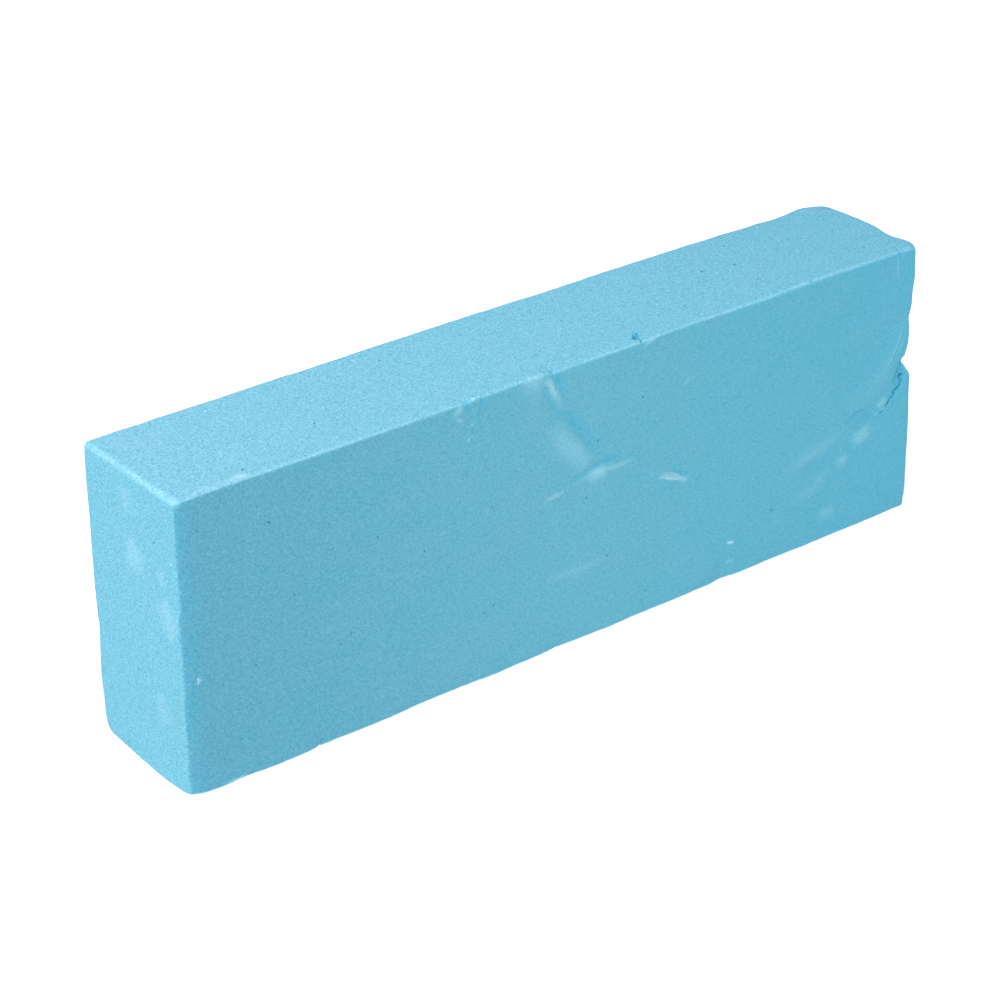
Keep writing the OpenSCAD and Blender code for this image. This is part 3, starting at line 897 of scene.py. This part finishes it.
# The tree that scatters small grains over a mesh, and sets one on it nearest to each picked place
def grainTree():
    tree = bpy.data.node_groups.new("grains on the clay", "GeometryNodeTree")
    sockets = (
        ("Geometry", "NodeSocketGeometry"), ("Density", "NodeSocketFloat"), ("Smallest", "NodeSocketFloat"),
        ("Largest", "NodeSocketFloat"), ("Flatness", "NodeSocketFloat"), ("Least Cut", "NodeSocketFloat"),
        ("Seed", "NodeSocketInt"), ("Picked", "NodeSocketObject"), ("Material", "NodeSocketMaterial"),
    )
    for name, kind in sockets:
        tree.interface.new_socket(name, in_out="INPUT", socket_type=kind)
    tree.interface.new_socket("Geometry", in_out="OUTPUT", socket_type="NodeSocketGeometry")
    given = addNode(tree, "NodeGroupInput").outputs

    # places: at random on the sides that are cut enough, clear of the floor, and the picked ones
    cut = addNode(tree, "GeometryNodeInputNamedAttribute", {"Name": "cut"}, data_type="FLOAT").outputs[0]
    cutEnough = addNode(tree, "FunctionNodeCompare", {
        0: cut, 1: given["Least Cut"]}, operation="GREATER_EQUAL").outputs[0]
    spot = addNode(tree, "GeometryNodeInputPosition").outputs[0]
    level = addNode(tree, "ShaderNodeSeparateXYZ", {0: spot}).outputs["Z"]
    aboveFloor = addNode(tree, "FunctionNodeCompare", {
        0: level, 1: clearOfFloor * mm}, operation="GREATER_THAN").outputs[0]
    wanted = addNode(tree, "FunctionNodeBooleanMath", {0: cutEnough, 1: aboveFloor}).outputs[0]
    perMetre = addNode(tree, "ShaderNodeMath", {
        0: given["Density"], 1: 1 / mm**2}, operation="MULTIPLY").outputs[0]
    scattered = addNode(tree, "GeometryNodeDistributePointsOnFaces", {
        "Mesh": given["Geometry"], "Selection": wanted, "Density": perMetre, "Seed": given["Seed"]})
    picked = addNode(tree, "GeometryNodeObjectInfo", {"Object": given["Picked"]}).outputs["Geometry"]
    pickedPoints = addNode(tree, "GeometryNodeMeshToPoints", {"Mesh": picked}).outputs[0]
    points = addNode(tree, "GeometryNodeJoinGeometry", {"Geometry": scattered.outputs["Points"]})
    tree.links.new(pickedPoints, points.inputs["Geometry"])
    nearest = addNode(tree, "GeometryNodeProximity", {"Target": given["Geometry"]}).outputs["Position"]
    seated = addNode(tree, "GeometryNodeSetPosition", {
        "Geometry": points.outputs[0], "Position": nearest}).outputs[0]

    # each grain lies flat on the side that holds it, turned at random
    normal = addNode(tree, "GeometryNodeInputNormal").outputs[0]
    facing = addNode(tree, "GeometryNodeSampleNearestSurface", {
        "Mesh": given["Geometry"], "Value": normal}, data_type="FLOAT_VECTOR").outputs["Value"]
    lying = addNode(tree, "FunctionNodeAlignRotationToVector", {"Vector": facing}, axis="Z").outputs[0]
    spin = addNode(tree, "FunctionNodeRandomValue", {
        "Max": (0.0, 0.0, fullTurn), "Seed": given["Seed"]}, data_type="FLOAT_VECTOR").outputs[0]
    turned = addNode(tree, "FunctionNodeRotateRotation", {
        "Rotation": lying, "Rotate By": spin}, rotation_space="LOCAL").outputs[0]
    small = addNode(tree, "ShaderNodeMath", {0: given["Smallest"], 1: mm}, operation="MULTIPLY").outputs[0]
    large = addNode(tree, "ShaderNodeMath", {0: given["Largest"], 1: mm}, operation="MULTIPLY").outputs[0]
    size = addNode(tree, "FunctionNodeRandomValue", {
        2: small, 3: large, 8: given["Seed"]}, data_type="FLOAT").outputs[1]
    length = addNode(tree, "ShaderNodeMath", {0: size, 1: grainStretch}, operation="MULTIPLY").outputs[0]
    thick = addNode(tree, "ShaderNodeMath", {0: size, 1: given["Flatness"]}, operation="MULTIPLY").outputs[0]
    scale = addNode(tree, "ShaderNodeCombineXYZ", {"X": length, "Y": size, "Z": thick}).outputs[0]
    ball = addNode(tree, "GeometryNodeMeshIcoSphere", {"Radius": 1.0, "Subdivisions": 1}).outputs["Mesh"]
    laid = addNode(tree, "GeometryNodeInstanceOnPoints", {
        "Points": seated, "Instance": ball, "Rotation": turned, "Scale": scale}).outputs[0]
    whole = addNode(tree, "GeometryNodeRealizeInstances", {0: laid}).outputs[0]
    smooth = addNode(tree, "GeometryNodeSetShadeSmooth", {0: whole}).outputs[0]
    dressed = addNode(tree, "GeometryNodeSetMaterial", {"Geometry": smooth, "Material": given["Material"]})
    addNode(tree, "NodeGroupOutput", {"Geometry": dressed.outputs[0]})
    return tree


# Runs the tree on the bar's mesh and keeps the grains as a plain mesh
def scatterGrains(tree, name, places, material):
    spots = bpy.data.meshes.new(name + "_places")
    spots.from_pydata([Vector(place) * mm for place in places], [], [])
    picked = addObject(name + "_places", spots)
    work = addObject(name + "_work", body.data)
    modifier = work.modifiers.new("grains", "NODES")
    modifier.node_group = tree
    sockets = {s.name: s.identifier for s in tree.interface.items_tree if s.in_out == "INPUT"}
    for label, value in {**grains[name], "Picked": picked, "Material": material}.items():
        modifier[sockets[label]] = value
    bpy.context.view_layer.update()
    mesh = bpy.data.meshes.new_from_object(work.evaluated_get(bpy.context.evaluated_depsgraph_get()))
    work.modifiers.clear()
    for helper in (picked, work):
        bpy.data.objects.remove(helper)
    mesh.name = name
    print(name + ":", len(mesh.vertices) // 12, "grains,", len(mesh.polygons), "faces")
    return addObject(name, mesh)


# The picked places of the larger grit, as points in millimetres
def gritPlaces():
    middleHeight = bar["height"] - bar["heightFall"] / 2
    front = [(x, -halfThickness, z) for x, z in pickedGrit["front"]]
    top = [(x, y, middleHeight) for x, y in pickedGrit["top"]]
    left = [(-halfLength, y, z) for y, z in pickedGrit["left"]]
    return front + top + left


studio = {
    "floor": "#BDBFC0",
    "floorGlow": 0.7,  # the sheet is lit from below too, as on a light table
    "world": 0.52,
    "keyPlace": (-0.44, -0.22, 0.86),  # direction from the bar
    "keyDistance": 1.1,  # metres, as are the sizes
    "keySize": 0.9,
    "keyPower": 16.0,  # watts
    "floorSize": 6.0,
    "floorDrop": 0.0001,  # metres under the bar, so that the two don't share a face
}


def lightStudio():
    scene = bpy.context.scene
    scene.view_settings.view_transform = "Standard"
    world = bpy.data.worlds.new("white room")
    world.use_nodes = True
    background = world.node_tree.nodes["Background"]
    background.inputs["Color"].default_value = (1, 1, 1, 1)
    background.inputs["Strength"].default_value = studio["world"]
    scene.world = world
    lamp = bpy.data.lights.new("softbox", "AREA")
    lamp.shape = "SQUARE"
    lamp.size = studio["keySize"]
    lamp.energy = studio["keyPower"]
    key = addObject("softbox", lamp)
    direction = Vector(studio["keyPlace"]).normalized()
    key.location = direction * studio["keyDistance"]
    key.rotation_euler = direction.to_track_quat("Z", "Y").to_euler()
    size = studio["floorSize"] / 2
    mesh = bpy.data.meshes.new("floor")
    corners = [(-size, -size, 0), (size, -size, 0), (size, size, 0), (-size, size, 0)]
    mesh.from_pydata(corners, [], [(0, 1, 2, 3)])
    floor = addObject("floor", mesh)
    floor.location.z = -studio["floorDrop"]
    paper = newMaterial("white paper sweep")
    shader = addNode(paper.node_tree, "ShaderNodeBsdfPrincipled", {
        "Base Color": colour(studio["floor"]), "Roughness": 0.9, "Emission Color": (1, 1, 1, 1),
        "Emission Strength": studio["floorGlow"]})
    addNode(paper.node_tree, "ShaderNodeOutputMaterial", {"Surface": shader.outputs[0]})
    mesh.materials.append(paper)


cameraView = {
    "azimuth": -37.507,  # degrees round from the front, negative to the left
    "elevation": 28.699,
    "roll": -0.595,
    "distance": 537.05,  # millimetres from the aim
    "aim": (2.08, 8.66, 14.86),
    "lens": 128.08,
}


def placeCamera():
    azimuth, elevation, roll = (math.radians(cameraView[k]) for k in ("azimuth", "elevation", "roll"))
    level = math.cos(elevation)
    back = Vector((math.sin(azimuth) * level, -math.cos(azimuth) * level, math.sin(elevation)))
    right = (-back).cross(Vector((0, 0, 1))).normalized()
    up = back.cross(right)
    right, up = (
        math.cos(roll) * right + math.sin(roll) * up,
        math.cos(roll) * up - math.sin(roll) * right,
    )
    turn = Matrix((right, up, back)).transposed()
    data = bpy.data.cameras.new("camera")
    data.lens = cameraView["lens"]
    data.clip_start = 0.01
    camera = addObject("camera", data)
    place = Vector(cameraView["aim"]) + back * cameraView["distance"]
    camera.matrix_world = Matrix.Translation(place * mm) @ turn.to_4x4()
    bpy.context.scene.camera = camera


placeCamera()
lightStudio()
clay = detailingClay()
print("camera placed, studio lit, clay mixed")
body = sculptBar()
body.data.materials.append(clay)
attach(body, "root")
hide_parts("clay_bar")

grainsOnClay = grainTree()
crumbs = scatterGrains(grainsOnClay, "clay_crumbs", [], clay)
grit = scatterGrains(grainsOnClay, "dark_grit", gritPlaces(), trappedGrit())
for piece in (crumbs, grit):
    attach(piece, "root")
